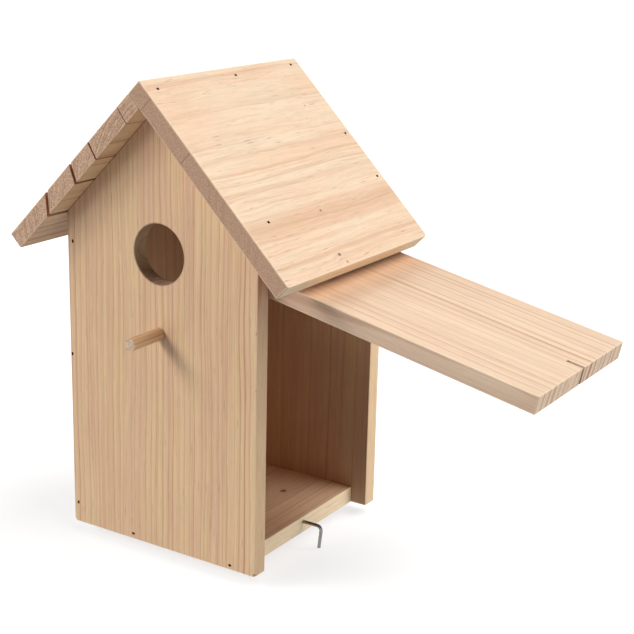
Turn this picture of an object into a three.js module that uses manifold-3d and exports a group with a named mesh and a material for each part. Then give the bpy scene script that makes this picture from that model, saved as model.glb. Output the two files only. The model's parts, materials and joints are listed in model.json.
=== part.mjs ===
// A wooden nest box with a swinging side door, in millimetres, +Z up.
// The origin is the centre of the underside: the front panel faces -Y, the door side is +X,
// and the panels stand on z = 0. The door is shown swung open; it hangs on two pins that are
// driven through the front and back panels into its edges. An L-shaped hook in the edge of
// the floor passes through a slot in the closed door and is turned to lock it.
import * as THREE from 'three';
import { mergeVertices } from 'three/addons/utils/BufferGeometryUtils.js';
import Module from 'manifold-3d';

// ---- Driving dimensions ----
const PANEL_WIDTH = 146.5; // front and back panels, side to side
const HOUSE_DEPTH = 144.6; // outer face of the front panel to outer face of the back panel
const EAVE_HEIGHT = 210.8; // straight sides of the front and back panels
const BOARD = 11.2; // thickness of the panels, the floor and the door
const SEAM = 0.1; // open seam between fixed boards

const ROOF_BOARD = 11.6; // thickness of the roof panels
const ROOF_SLOPE = 150; // ridge to eave, along the outer surface
const FRONT_OVERHANG = 17; // the back end of the roof is flush with the back panel
const ROOF_SEAM = 0.3; // between a roof panel and what it lies on
const PITCH = Math.PI / 4;

const ENTRANCE_DIAMETER = 38;
const ENTRANCE_HEIGHT = 194.3;
const PERCH_DIAMETER = 8;
const PERCH_HEIGHT = 144;
const PERCH_REACH = 28.5; // in front of the front panel
const PERCH_FIT = 0.15; // glue gap round the dowel
const PERCH_RECESS = 0.5; // its inner end stops short of the panel's inner face

const DOOR_BOTTOM = 0.6; // closed door
const DOOR_TOP = 209.2;
const DOOR_SIDE_GAP = 0.5; // between the door's edges and the front and back panels
const DOOR_FLOOR_GAP = 0.3; // between the closed door and the floor's edge
const PIVOT_HEIGHT = 183.9;
const DOOR_OPEN_ANGLE = THREE.MathUtils.degToRad(78.4); // swung up from closed, as shown
const SLOT_WIDTH = 2.8;
const SLOT_LENGTH = 10.7;

const PIN_DIAMETER = 1.8;
const PIN_LENGTH = 26;
const PIN_CLEARANCE = 0.25; // the door turns freely on its pins
const PIN_FIT = 0.1; // gap round a pin in the panel that holds it
const PIN_DEPTH = 1.2; // sunk below the panel's face
const PIN_HOLE_SPARE = 1; // the door's holes go a little deeper than the pins

const HOOK_WIRE = 2.3;
const HOOK_HEIGHT = 7.7; // shank above the underside
const HOOK_EMBEDDED = 14; // shank inside the floor board
const HOOK_CLEARANCE = 0.3;
const HOOK_DOOR_GAP = 0.4; // turned leg to the face of the closed door
const HOOK_LEG = 15.5; // shank axis to tip
const HOOK_BEND = 2.6; // bend radius of the wire's axis

const BRAD_WIDTH = 1.7; // along the edge of the board that it holds
const BRAD_THICKNESS = 1.15;
const BRAD_LENGTH = 25;
const BRAD_DEPTH = 0.7; // sunk below the surface
const BRAD_FIT = 0.12; // gap round a brad in its hole

const OVERSHOOT = 1; // how far what cuts a board runs past its faces
const ENTRANCE_SIDES = 64;
const DOWEL_SIDES = 32;
const WIRE_SIDES = 24;
const PIN_HOLE_SIDES = 16;
const PIN_SIDES = 12;

// ---- Places worked out from them ----
const HALF_WIDTH = PANEL_WIDTH / 2;
const FRONT = -HOUSE_DEPTH / 2;
const BACK = HOUSE_DEPTH / 2;
const FRONT_INNER = FRONT + BOARD;
const BACK_INNER = BACK - BOARD;
const SIDE_INNER = -HALF_WIDTH + BOARD; // inner face of the left side panel
const DOOR_INNER = HALF_WIDTH - BOARD; // inner face of the closed door
const FLOOR_EDGE = DOOR_INNER - DOOR_FLOOR_GAP;
const GABLE_PEAK = EAVE_HEIGHT + HALF_WIDTH * Math.tan(PITCH);
const ROOF_FRONT = FRONT - FRONT_OVERHANG;
const UNDERSIDE_PEAK = GABLE_PEAK + ROOF_SEAM / Math.cos(PITCH);
const RIDGE = UNDERSIDE_PEAK + ROOF_BOARD / Math.cos(PITCH);
const PIVOT_X = HALF_WIDTH - BOARD / 2;
const HOOK_LEG_X = HALF_WIDTH + HOOK_DOOR_GAP + HOOK_WIRE / 2;

// ---- Materials ----
const wood = (color) => new THREE.MeshStandardMaterial({ color, roughness: 0.75, metalness: 0 });
const PANEL_WOOD = wood(0xd2af87);
const SIDE_WOOD = wood(0xcdaa82);
const FLOOR_WOOD = wood(0xc39f7a);
const ROOF_WOOD = wood(0xf0d3aa);
const DOOR_WOOD = wood(0xe8c9a2);
const DOWEL_WOOD = wood(0xb48c64);
const BRAD_STEEL = new THREE.MeshStandardMaterial({ color: 0x2b2622, roughness: 0.5, metalness: 0.8 });
const PIN_STEEL = new THREE.MeshStandardMaterial({ color: 0x8c8a86, roughness: 0.4, metalness: 0.9 });
const HOOK_STEEL = new THREE.MeshStandardMaterial({ color: 0xa8aaac, roughness: 0.3, metalness: 1 });

// ---- Cutting ----
const wasm = await Module();
wasm.setup();

function toSolid(geometry) {
  const bare = geometry.index ? geometry.toNonIndexed() : geometry.clone();
  bare.deleteAttribute('normal');
  bare.deleteAttribute('uv');
  const welded = mergeVertices(bare, 1e-4);
  return new wasm.Manifold(new wasm.Mesh({
    numProp: 3,
    vertProperties: new Float32Array(welded.attributes.position.array),
    triVerts: new Uint32Array(welded.index.array),
  }));
}

function toGeometry(solid) {
  const mesh = solid.getMesh();
  const geometry = new THREE.BufferGeometry();
  const corners = new THREE.BufferAttribute(new Float32Array(mesh.vertProperties), 3);
  geometry.setAttribute('position', corners);
  geometry.setIndex(new THREE.BufferAttribute(new Uint32Array(mesh.triVerts), 1));
  geometry.computeVertexNormals();
  return geometry;
}

function cut(geometry, tools) {
  let solid = toSolid(geometry);
  for (const tool of tools) solid = solid.subtract(toSolid(tool));
  return toGeometry(solid);
}

// ---- Basic shapes ----
// A prism whose outline is given in x and z, between two values of y.
function prism(outline, yFrom, yTo) {
  const shape = new THREE.Shape(outline.map(([x, z]) => new THREE.Vector2(x, z)));
  const geometry = new THREE.ExtrudeGeometry(shape, { depth: yTo - yFrom, bevelEnabled: false });
  return geometry.rotateX(Math.PI / 2).translate(0, yTo, 0);
}

function block(xFrom, xTo, yFrom, yTo, zFrom, zTo) {
  return new THREE.BoxGeometry(xTo - xFrom, yTo - yFrom, zTo - zFrom)
    .translate((xFrom + xTo) / 2, (yFrom + yTo) / 2, (zFrom + zTo) / 2);
}

// A cylinder along Y.
function roundBar(diameter, yFrom, yTo, x, z, sides) {
  return new THREE.CylinderGeometry(diameter / 2, diameter / 2, yTo - yFrom, sides)
    .translate(x, (yFrom + yTo) / 2, z);
}

// ---- Nails: thin brads driven by a nailer, with a rectangular section and a wedge point ----
const cutters = {}; // board name -> what is cut out of it
const nails = [];

function bradShape(length, width, thickness) {
  const half = width / 2;
  const point = new THREE.Shape([
    new THREE.Vector2(-half, 0), new THREE.Vector2(-half, -length + width),
    new THREE.Vector2(0, -length), new THREE.Vector2(half, -length + width), new THREE.Vector2(half, 0),
  ]);
  return new THREE.ExtrudeGeometry(point, { depth: thickness, bevelEnabled: false })
    .translate(0, 0, -thickness / 2);
}

function addCutter(board, geometry) {
  (cutters[board] ??= []).push(geometry);
}

// A brad enters the surface at `at`, pointing along `into`, with its wide side along `wide`,
// and goes through the boards named in `boards`.
function driveBrad(name, at, into, wide, boards) {
  const down = new THREE.Vector3(...into).normalize();
  const x = new THREE.Vector3(...wide).normalize();
  const y = down.clone().negate();
  const turn = new THREE.Matrix4().makeBasis(x, y, x.clone().cross(y));
  const wire = bradShape(BRAD_LENGTH - BRAD_DEPTH, BRAD_WIDTH, BRAD_THICKNESS);
  const mesh = new THREE.Mesh(wire, BRAD_STEEL);
  mesh.name = name;
  mesh.quaternion.setFromRotationMatrix(turn);
  mesh.position.set(...at).addScaledVector(down, BRAD_DEPTH);
  nails.push(mesh);
  const holeLength = BRAD_LENGTH + 2 * OVERSHOOT;
  const hole = bradShape(holeLength, BRAD_WIDTH + 2 * BRAD_FIT, BRAD_THICKNESS + 2 * BRAD_FIT)
    .translate(0, OVERSHOOT, 0).applyMatrix4(turn).translate(...at);
  for (const board of boards) addCutter(board, hole);
}

// Through the front panel into the side panel's and the floor's ends. Each row is x, z, the held
// board, and the direction of the brad's wide side.
const UP = [0, 0, 1];
const ACROSS = [1, 0, 0];
const FRONT_BRADS = [
  ['upper_side', -69.1, 192.6, 'left_side_panel', UP],
  ['middle_side', -71.9, 117.4, 'left_side_panel', UP],
  ['lower_side', -70, 13.9, 'left_side_panel', UP],
  ['left_floor', -22.9, 3.6, 'floor_panel', ACROSS], ['right_floor', 54.6, 2.9, 'floor_panel', ACROSS],
];
const BACK_BRADS = [
  ['upper_side', -68, 188, 'left_side_panel', UP],
  ['middle_side', -69.2, 108, 'left_side_panel', UP],
  ['lower_side', -68.5, 19, 'left_side_panel', UP],
  ['left_floor', -27, 4.4, 'floor_panel', ACROSS], ['right_floor', 42, 4, 'floor_panel', ACROSS],
];
for (const [place, x, z, held, wide] of FRONT_BRADS) {
  driveBrad(`front_${place}_brad`, [x, FRONT, z], [0, 1, 0], wide, ['front_panel', held]);
}
for (const [place, x, z, held, wide] of BACK_BRADS) {
  driveBrad(`back_${place}_brad`, [x, BACK, z], [0, -1, 0], wide, ['back_panel', held]);
}

// A point on a roof slope's outer surface: side is 1 for the right slope and -1 for the left,
// `slope` is the distance down from the ridge, and `depth` the distance below the surface.
function onRoof(side, slope, depth = 0) {
  const x = side * (slope * Math.cos(PITCH) - depth * Math.sin(PITCH));
  return [x, RIDGE - slope * Math.sin(PITCH) - depth * Math.cos(PITCH)];
}

function driveRoofBrad(name, side, slope, y, boards) {
  const [x, z] = onRoof(side, slope);
  driveBrad(name, [x, y, z], [-side * Math.sin(PITCH), 0, -Math.cos(PITCH)], [0, 1, 0], boards);
}

const MID_FRONT = FRONT + BOARD / 2;
const MID_BACK = BACK - BOARD / 2;
const RIDGE_BRADS = [['front', 7.6, -78.3], ['middle', 6.5, -0.2], ['rear', 5, 63.1]];
for (const [place, slope, y] of RIDGE_BRADS) {
  driveRoofBrad(`ridge_${place}_brad`, 1, slope, y, ['right_roof_panel', 'left_roof_panel']);
}
driveRoofBrad('right_roof_front_brad', 1, 108.2, MID_FRONT, ['right_roof_panel', 'front_panel']);
driveRoofBrad('right_roof_rear_upper_brad', 1, 63.8, MID_BACK, ['right_roof_panel', 'back_panel']);
driveRoofBrad('right_roof_rear_lower_brad', 1, 99.5, MID_BACK, ['right_roof_panel', 'back_panel']);
driveRoofBrad('left_roof_front_brad', -1, 98, MID_FRONT, ['left_roof_panel', 'front_panel']);
driveRoofBrad('left_roof_rear_brad', -1, 100, MID_BACK, ['left_roof_panel', 'back_panel']);

// ---- Front and back panels ----
const GABLE = [
  [-HALF_WIDTH, 0], [HALF_WIDTH, 0], [HALF_WIDTH, EAVE_HEIGHT],
  [0, GABLE_PEAK], [-HALF_WIDTH, EAVE_HEIGHT],
];

// What cuts a round hole right through a panel, whose faces are at yFrom and yTo.
function throughHole(diameter, yFrom, yTo, x, z, sides) {
  return roundBar(diameter, yFrom - OVERSHOOT, yTo + OVERSHOOT, x, z, sides);
}

function pinHole(yFrom, yTo) {
  return throughHole(PIN_DIAMETER + 2 * PIN_FIT, yFrom, yTo, PIVOT_X, PIVOT_HEIGHT, PIN_SIDES);
}

function makeFrontPanel() {
  const perchHole = PERCH_DIAMETER + 2 * PERCH_FIT;
  return cut(prism(GABLE, FRONT, FRONT_INNER), [
    throughHole(ENTRANCE_DIAMETER, FRONT, FRONT_INNER, 0, ENTRANCE_HEIGHT, ENTRANCE_SIDES),
    throughHole(perchHole, FRONT, FRONT_INNER, 0, PERCH_HEIGHT, DOWEL_SIDES),
    pinHole(FRONT, FRONT_INNER),
    ...cutters.front_panel,
  ]);
}

function makeBackPanel() {
  return cut(prism(GABLE, BACK_INNER, BACK), [pinHole(BACK_INNER, BACK), ...cutters.back_panel]);
}

// The side panel's top edge is bevelled to the roof's pitch.
function makeLeftSidePanel() {
  const outline = [
    [-HALF_WIDTH, 0], [SIDE_INNER, 0],
    [SIDE_INNER, EAVE_HEIGHT + BOARD * Math.tan(PITCH)], [-HALF_WIDTH, EAVE_HEIGHT],
  ];
  return cut(prism(outline, FRONT_INNER + SEAM, BACK_INNER - SEAM), cutters.left_side_panel);
}

function makeFloorPanel() {
  const holeRadius = HOOK_WIRE / 2 + HOOK_CLEARANCE;
  const holeLength = HOOK_EMBEDDED + 2 * OVERSHOOT;
  const hookHole = new THREE.CylinderGeometry(holeRadius, holeRadius, holeLength, WIRE_SIDES)
    .rotateZ(Math.PI / 2).translate(FLOOR_EDGE - HOOK_EMBEDDED / 2, 0, HOOK_HEIGHT);
  const [front, back] = [FRONT_INNER + SEAM, BACK_INNER - SEAM];
  const board = block(SIDE_INNER + SEAM, FLOOR_EDGE, front, back, 0, BOARD);
  return cut(board, [hookHole, ...cutters.floor_panel]);
}

// ---- Roof: the right panel laps over the top end of the left one ----
// Drying splits run back from the front end of the left panel. Each row is the slope distance at
// the outer surface, the same at the underside, the split's width and its length.
const SPLITS = [
  [23.9, 25.7, 0.5, 30],
  [56.3, 59, 1.1, 58],
  [77, 82.2, 2.2, 84],
  [105.5, 115.5, 2.3, 100],
];

function makeLeftRoofPanel() {
  const top = ROOF_BOARD + ROOF_SEAM;
  const outline = [
    onRoof(-1, top), onRoof(-1, ROOF_SLOPE),
    onRoof(-1, ROOF_SLOPE, ROOF_BOARD), onRoof(-1, top, ROOF_BOARD),
  ];
  const splits = SPLITS.map(([outer, inner, width, length]) => {
    const lean = (inner - outer) / ROOF_BOARD; // further down the slope for each mm of depth
    const edge = (depth, half) => onRoof(-1, outer + lean * depth + half * Math.hypot(1, lean), depth);
    const above = -OVERSHOOT;
    const below = ROOF_BOARD + OVERSHOOT;
    const section = [
      edge(above, -width / 2), edge(above, width / 2), edge(below, width / 2), edge(below, -width / 2),
    ];
    return prism(section, ROOF_FRONT - OVERSHOOT, ROOF_FRONT + length);
  });
  return cut(prism(outline, ROOF_FRONT, BACK), [...splits, ...cutters.left_roof_panel]);
}

function makeRightRoofPanel() {
  const outline = [
    onRoof(1, 0, ROOF_BOARD), onRoof(1, ROOF_SLOPE, ROOF_BOARD),
    onRoof(1, ROOF_SLOPE), onRoof(1, 0),
  ];
  return cut(prism(outline, ROOF_FRONT, BACK), cutters.right_roof_panel);
}

// ---- Door, drawn closed about its pivot ----
function makeDoor() {
  const halfLength = HOUSE_DEPTH / 2 - BOARD - DOOR_SIDE_GAP;
  const bottom = DOOR_BOTTOM - PIVOT_HEIGHT;
  const top = DOOR_TOP - PIVOT_HEIGHT;
  const slab = block(-BOARD / 2, BOARD / 2, -halfLength, halfLength, bottom, top);
  const slotTop = bottom + SLOT_LENGTH;
  const slot = block(-BOARD, BOARD, -SLOT_WIDTH / 2, SLOT_WIDTH / 2, bottom - OVERSHOOT, slotTop);
  const holeEnd = halfLength - (PIN_LENGTH - BOARD) - PIN_HOLE_SPARE;
  const holeDiameter = PIN_DIAMETER + 2 * PIN_CLEARANCE;
  const hole = (yFrom, yTo) => roundBar(holeDiameter, yFrom, yTo, 0, 0, PIN_HOLE_SIDES);
  return cut(slab, [
    slot,
    hole(-halfLength - OVERSHOOT, -holeEnd),
    hole(holeEnd, halfLength + OVERSHOOT),
  ]);
}

// ---- Pins, perch and hook ----
function makePin(side) {
  const head = side * (HOUSE_DEPTH / 2 - PIN_DEPTH);
  const tip = head - side * PIN_LENGTH;
  const [yFrom, yTo] = side < 0 ? [head, tip] : [tip, head];
  return roundBar(PIN_DIAMETER, yFrom, yTo, PIVOT_X, PIVOT_HEIGHT, PIN_SIDES);
}

function makePerch() {
  const [outerEnd, innerEnd] = [FRONT - PERCH_REACH, FRONT_INNER - PERCH_RECESS];
  return roundBar(PERCH_DIAMETER, outerEnd, innerEnd, 0, PERCH_HEIGHT, DOWEL_SIDES);
}

function makeHook() {
  const path = new THREE.CurvePath();
  const shankStart = new THREE.Vector3(FLOOR_EDGE - HOOK_EMBEDDED, 0, HOOK_HEIGHT);
  const bendStart = new THREE.Vector3(HOOK_LEG_X - HOOK_BEND, 0, HOOK_HEIGHT);
  const corner = new THREE.Vector3(HOOK_LEG_X, 0, HOOK_HEIGHT);
  const bendEnd = new THREE.Vector3(HOOK_LEG_X, 0, HOOK_HEIGHT - HOOK_BEND);
  const tip = new THREE.Vector3(HOOK_LEG_X, 0, HOOK_HEIGHT - HOOK_LEG);
  path.add(new THREE.LineCurve3(shankStart, bendStart));
  path.add(new THREE.QuadraticBezierCurve3(bendStart, corner, bendEnd));
  path.add(new THREE.LineCurve3(bendEnd, tip));
  const wire = new THREE.Shape();
  wire.absarc(0, 0, HOOK_WIRE / 2, 0, 2 * Math.PI, false);
  return new THREE.ExtrudeGeometry(wire, {
    steps: 40, curveSegments: 6, bevelEnabled: false, extrudePath: path,
  });
}

// ---- Assembly ----
function piece(name, geometry, material) {
  const mesh = new THREE.Mesh(geometry, material);
  mesh.name = name;
  return mesh;
}

const birdhouse = new THREE.Group();
birdhouse.add(
  piece('front_panel', makeFrontPanel(), PANEL_WOOD),
  piece('back_panel', makeBackPanel(), PANEL_WOOD),
  piece('left_side_panel', makeLeftSidePanel(), SIDE_WOOD),
  piece('floor_panel', makeFloorPanel(), FLOOR_WOOD),
  piece('left_roof_panel', makeLeftRoofPanel(), ROOF_WOOD),
  piece('right_roof_panel', makeRightRoofPanel(), ROOF_WOOD),
  piece('perch_dowel', makePerch(), DOWEL_WOOD),
  piece('front_hinge_pin', makePin(-1), PIN_STEEL),
  piece('back_hinge_pin', makePin(1), PIN_STEEL),
  piece('latch_hook', makeHook(), HOOK_STEEL),
  ...nails,
);

const doorGroup = new THREE.Group();
doorGroup.position.set(PIVOT_X, 0, PIVOT_HEIGHT);
doorGroup.rotation.y = -DOOR_OPEN_ANGLE;
doorGroup.add(piece('swing_door', makeDoor(), DOOR_WOOD));
birdhouse.add(doorGroup);

export default birdhouse;
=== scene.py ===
"""The birdhouse as it looks: rounded pine boards, brads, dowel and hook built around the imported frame.

Everything is in metres in the frame of the CAD model: the front faces -Y and the door is on the +X side.
"""
import json
import math
from types import SimpleNamespace

import bmesh
import bpy
from mathutils import Matrix, Vector


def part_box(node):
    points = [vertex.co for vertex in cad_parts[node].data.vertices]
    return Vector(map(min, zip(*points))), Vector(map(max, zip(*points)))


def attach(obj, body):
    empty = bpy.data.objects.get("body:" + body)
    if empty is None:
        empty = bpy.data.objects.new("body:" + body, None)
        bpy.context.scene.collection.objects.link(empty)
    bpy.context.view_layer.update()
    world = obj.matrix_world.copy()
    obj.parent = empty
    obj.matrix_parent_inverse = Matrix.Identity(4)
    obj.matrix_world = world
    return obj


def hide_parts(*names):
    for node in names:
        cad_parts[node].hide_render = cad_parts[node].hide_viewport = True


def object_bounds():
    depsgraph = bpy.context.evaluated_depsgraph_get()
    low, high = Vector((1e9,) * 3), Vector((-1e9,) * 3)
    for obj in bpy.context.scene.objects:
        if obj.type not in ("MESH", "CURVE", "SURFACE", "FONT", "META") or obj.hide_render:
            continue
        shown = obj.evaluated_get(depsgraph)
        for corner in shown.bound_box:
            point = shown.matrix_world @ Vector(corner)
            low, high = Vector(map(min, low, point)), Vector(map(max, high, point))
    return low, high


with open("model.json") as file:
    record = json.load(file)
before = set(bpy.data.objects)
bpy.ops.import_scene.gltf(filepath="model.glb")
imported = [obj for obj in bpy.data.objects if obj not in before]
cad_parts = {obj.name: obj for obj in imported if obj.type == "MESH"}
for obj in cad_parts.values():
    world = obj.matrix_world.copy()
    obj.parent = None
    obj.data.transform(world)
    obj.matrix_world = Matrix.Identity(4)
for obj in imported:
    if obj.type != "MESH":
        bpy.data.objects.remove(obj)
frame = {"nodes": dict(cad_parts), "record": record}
CAD_LOW, CAD_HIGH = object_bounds()
RECORD = frame["record"]
MM = 0.001

# ---- Sizes that the frame gives ----
FRONT_LOW, FRONT_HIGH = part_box("front_panel")
BACK_LOW, BACK_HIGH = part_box("back_panel")
SIDE_LOW, SIDE_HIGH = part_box("left_side_panel")
FLOOR_LOW, FLOOR_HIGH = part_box("floor_panel")
RIGHT_ROOF_LOW, RIGHT_ROOF_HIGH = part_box("right_roof_panel")
PERCH_LOW, PERCH_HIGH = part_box("perch_dowel")
PIN_LOW, PIN_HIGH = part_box("front_hinge_pin")
HOOK_LOW, HOOK_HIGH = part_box("latch_hook")
OPENINGS = {opening["name"]: opening["box_m"] for opening in RECORD["physics"]["openings"]}
JOINTS = {joint["name"]: joint for joint in RECORD["behaviour"]["joints"]}
PIVOT = Vector(JOINTS["door_swing"]["pos_m"])
DOOR_OPEN_ANGLE = math.radians(JOINTS["door_swing"]["range_deg"][1])
BRADS = sorted(node for node in frame["nodes"] if node.endswith("_brad"))

BOARD = FRONT_HIGH.y - FRONT_LOW.y
HALF_WIDTH = FRONT_HIGH.x
GABLE_PEAK = FRONT_HIGH.z
EAVE_HEIGHT = GABLE_PEAK - HALF_WIDTH
RIDGE = RIGHT_ROOF_HIGH.z
ROOF_FRONT, ROOF_BACK = RIGHT_ROOF_LOW.y, RIGHT_ROOF_HIGH.y
DOOR_INNER = HALF_WIDTH - BOARD
PERCH_CENTRE = (PERCH_LOW + PERCH_HIGH) / 2
PIN_CENTRE = (PIN_LOW + PIN_HIGH) / 2

# ---- Sizes that the frame doesn't give ----
PITCH = math.radians(45)
SLANT = math.sin(PITCH)
ROOF_BOARD = 11.6 * MM
ROOF_SLOPE = 150 * MM
ROOF_SEAM = 0.3 * MM
EDGE_RADIUS = 0.45 * MM
ROOF_EDGE_RADIUS = 0.6 * MM

ENTRANCE_RADIUS = 19 * MM
ENTRANCE_FLARE = 0.7 * MM
PERCH_RADIUS = 4 * MM
PERCH_RIM = 0.35 * MM
PERCH_HOLE_RADIUS = 4.1 * MM

DOOR_BOTTOM = 0.6 * MM
DOOR_TOP = 209.2 * MM
DOOR_SIDE_GAP = 0.5 * MM
SLOT_WIDTH = 2.8 * MM
SLOT_LENGTH = 10.7 * MM

PIN_RADIUS = 0.9 * MM
PIN_RIM = 0.2 * MM
PIN_HOLE_RADIUS = 1.0 * MM
DOOR_PIN_HOLE_RADIUS = 1.15 * MM
DOOR_PIN_HOLE_DEPTH = 16 * MM
# The filler lies just below the panel's face and just short of the pin.
FILLER_RADIUS = 0.97 * MM
FILLER_RIM = 0.12 * MM
FILLER_SINK = 0.04 * MM
FILLER_GAP = 0.05 * MM

HOOK_RADIUS = 1.15 * MM
HOOK_HOLE_RADIUS = 1.3 * MM
HOOK_HOLE_DEPTH = 15 * MM
HOOK_BEND_RADIUS = 3.0 * MM
HOOK_OVERBEND = math.radians(6.5)
# The corner stands further out than in the CAD, so that the leaning leg clears the closed door.
HOOK_CORNER_OUT = 1.05 * MM
WIRE_END_RADIUS = 0.25 * MM

# A brad has this room round it, sinks this far below the CAD's head, and is cut from this far above.
BRAD_FIT = 0.2 * MM
BRAD_SINK = 1.3 * MM
BRAD_HOLE_ABOVE = 4 * MM
BRAD_WIDTH = 1.7 * MM
BRAD_THICKNESS = 1.15 * MM
BRAD_LENGTH = 24.3 * MM
BRAD_EDGE_RADIUS = 0.15 * MM

# How far a cutter reaches past the faces that it cuts.
PAST_FACE = 1 * MM
# How many sides the round shapes have.
ENTRANCE_SIDES, HOLE_SIDES, SMALL_HOLE_SIDES = 96, 48, 24
PERCH_SIDES, PIN_SIDES, HOOK_SIDES = 64, 32, 32

# A painted shade on the walls of each kind of hole, where little light gets in: 0 is the board's own colour,
# and 1 is its "cut" colour.
SHADES = {"board": 0.0, "entrance": 0.36, "slot": 0.12, "split": 0.85, "brad_hole": 0.95}


# ---- Mesh building ----
# Edges sharper than SHARP_EDGE are rounded. Faces wider than WIDE_FACE get a rim, which shades them flat.
SHARP_EDGE = math.radians(30)
EDGE_SEGMENTS, WORN_SEGMENTS = 4, 6
WIDE_FACE = 4 * MM
FACE_INSET = 0.5 * MM
# A point is on an arris when it is within this many edge radii of two of the board's faces.
ARRIS_REACH = 1.05
SMOOTH_UP_TO = math.radians(40)
NICK_SHAPE = (1.0, 0.8, 1.7)
# Radians to the metre of height, so that no two nicks are turned alike.
NICK_TWIST = 900


def new_object(name, mesh):
    piece = bpy.data.objects.new(name, mesh)
    bpy.context.scene.collection.objects.link(piece)
    return piece


def mesh_from(name, bm):
    bmesh.ops.recalc_face_normals(bm, faces=bm.faces)
    mesh = bpy.data.meshes.new(name)
    bm.to_mesh(mesh)
    bm.free()
    return mesh


def prism(outline, y_from, y_to):
    """A bmesh prism whose outline is given in x and z, between two values of y."""
    bm = bmesh.new()
    ring = [bm.verts.new((x, y_from, z)) for x, z in outline]
    base = bm.faces.new(ring)
    grown = bmesh.ops.extrude_face_region(bm, geom=[base])["geom"]
    verts = [item for item in grown if isinstance(item, bmesh.types.BMVert)]
    bmesh.ops.translate(bm, verts=verts, vec=(0, y_to - y_from, 0))
    return bm


def circle(sides):
    """The cosine and sine of evenly spaced angles round a full turn."""
    turns = [2 * math.pi * i / sides for i in range(sides)]
    return [(math.cos(turn), math.sin(turn)) for turn in turns]


def skin(bm, rings):
    """Adds the faces between closed rings of vertices, and one face over each end."""
    count = len(rings[0])
    for near, far in zip(rings, rings[1:]):
        for i in range(count):
            j = (i + 1) % count
            bm.faces.new((near[i], near[j], far[j], far[i]))
    bm.faces.new(rings[0])
    bm.faces.new(rings[-1])


def bevel(bm, edges, radius, segments=2):
    bmesh.ops.bevel(bm, geom=edges, offset=radius, segments=segments, profile=0.5, affect="EDGES")


def paint_shade(bm, shade):
    """Sets the painted shade of the faces: a cutter's faces become the walls of the hole that it cuts,
    painted darker for the shade in it.
    """
    layer = bm.faces.layers.float.new("painted_hole_shade")
    for face in bm.faces:
        face[layer] = shade
    return bm


def edge_middle(edge):
    return (edge.verts[0].co + edge.verts[1].co) / 2


def rounded_board(name, outline, y_from, y_to, cutters, radius=EDGE_RADIUS, worn=()):
    """A board with rounded edges, less its holes.

    `worn` lists edges that are rounded further, each by a point near its middle and its radius.
    """
    bm = prism(outline, y_from, y_to)
    for point, worn_radius in worn:
        edge = min(bm.edges, key=lambda candidate: (edge_middle(candidate) - Vector(point)).length)
        bevel(bm, [edge], worn_radius, WORN_SEGMENTS)
    bevel(bm, [edge for edge in bm.edges if edge.calc_face_angle(0) > SHARP_EDGE], radius, EDGE_SEGMENTS)
    wide = [
        face for face in bm.faces
        if face.calc_area() > WIDE_FACE * max(edge.calc_length() for edge in face.edges)
    ]
    bmesh.ops.inset_individual(bm, faces=wide, thickness=FACE_INSET)
    piece = new_object(name, mesh_from(name, paint_shade(bm, SHADES["board"])))
    cut(piece, cutters)
    mark_arrises(piece, outline, y_from, y_to, radius)
    return piece


def mark_arrises(piece, outline, y_from, y_to, radius):
    """Writes the attribute `arris`: 1 on the rounded edges, which lie close to two of the board's faces."""
    planes = [(Vector((0, y_from, 0)), Vector((0, 1, 0))), (Vector((0, y_to, 0)), Vector((0, 1, 0)))]
    for (x1, z1), (x2, z2) in zip(outline, outline[1:] + outline[:1]):
        planes.append((Vector((x1, 0, z1)), Vector((z2 - z1, 0, x1 - x2)).normalized()))
    piece.data.attributes.new("arris", "FLOAT", "POINT")
    arris = piece.data.attributes["arris"].data
    for vertex in piece.data.vertices:
        depths = sorted(abs((vertex.co - place).dot(normal)) for place, normal in planes)
        arris[vertex.index].value = float(depths[1] < ARRIS_REACH * radius)


def nick(x, y, z, size):
    """A small dent to cut from an edge, longer along Z."""
    bm = bmesh.new()
    bmesh.ops.create_icosphere(bm, subdivisions=2, radius=size)
    bmesh.ops.scale(bm, vec=NICK_SHAPE, verts=bm.verts)
    bmesh.ops.rotate(bm, cent=(0, 0, 0), matrix=Matrix.Rotation(z * NICK_TWIST, 3, "X"), verts=bm.verts)
    bmesh.ops.translate(bm, vec=(x, y, z), verts=bm.verts)
    return bm


def cylinder_along_y(radius, y_from, y_to, x, z, sides):
    outline = [(x + radius * cosine, z + radius * sine) for cosine, sine in circle(sides)]
    return prism(outline, y_from, y_to)


def rod(name, radius, y_from, y_to, centre, sides, rim):
    """A round piece along Y with rounded rims."""
    bm = cylinder_along_y(radius, y_from, y_to, centre.x, centre.z, sides)
    rims = [edge for edge in bm.edges if abs(edge.verts[0].co.y - edge.verts[1].co.y) < 1e-6]
    bevel(bm, rims, rim)
    return new_object(name, mesh_from(name, bm))


def through_hole(board_low, board_high, radius, centre, sides):
    """A straight round cutter through an upright board."""
    y_from, y_to = board_low.y - PAST_FACE, board_high.y + PAST_FACE
    return cylinder_along_y(radius, y_from, y_to, centre.x, centre.z, sides)


def flared_cutter(radius, y_from, y_to, x, z, flare, sides):
    """A round cutter between a board's two faces, flared at both, so that it rounds the hole's edges."""
    steps = 4
    turns = [math.pi / 2 * i / steps for i in range(steps + 1)]
    curve = [(flare * math.sin(turn), flare * (1 - math.cos(turn))) for turn in turns]
    profile = [(y_from - flare, radius + 2 * flare)]
    profile += [(y_from + flare - along, radius + out) for along, out in reversed(curve)]
    profile += [(y_to - flare + along, radius + out) for along, out in curve]
    profile += [(y_to + flare, radius + 2 * flare)]
    bm = bmesh.new()
    rings = []
    for y, r in profile:
        rings.append([bm.verts.new((x + r * cosine, y, z + r * sine)) for cosine, sine in circle(sides)])
    skin(bm, rings)
    return bm


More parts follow.
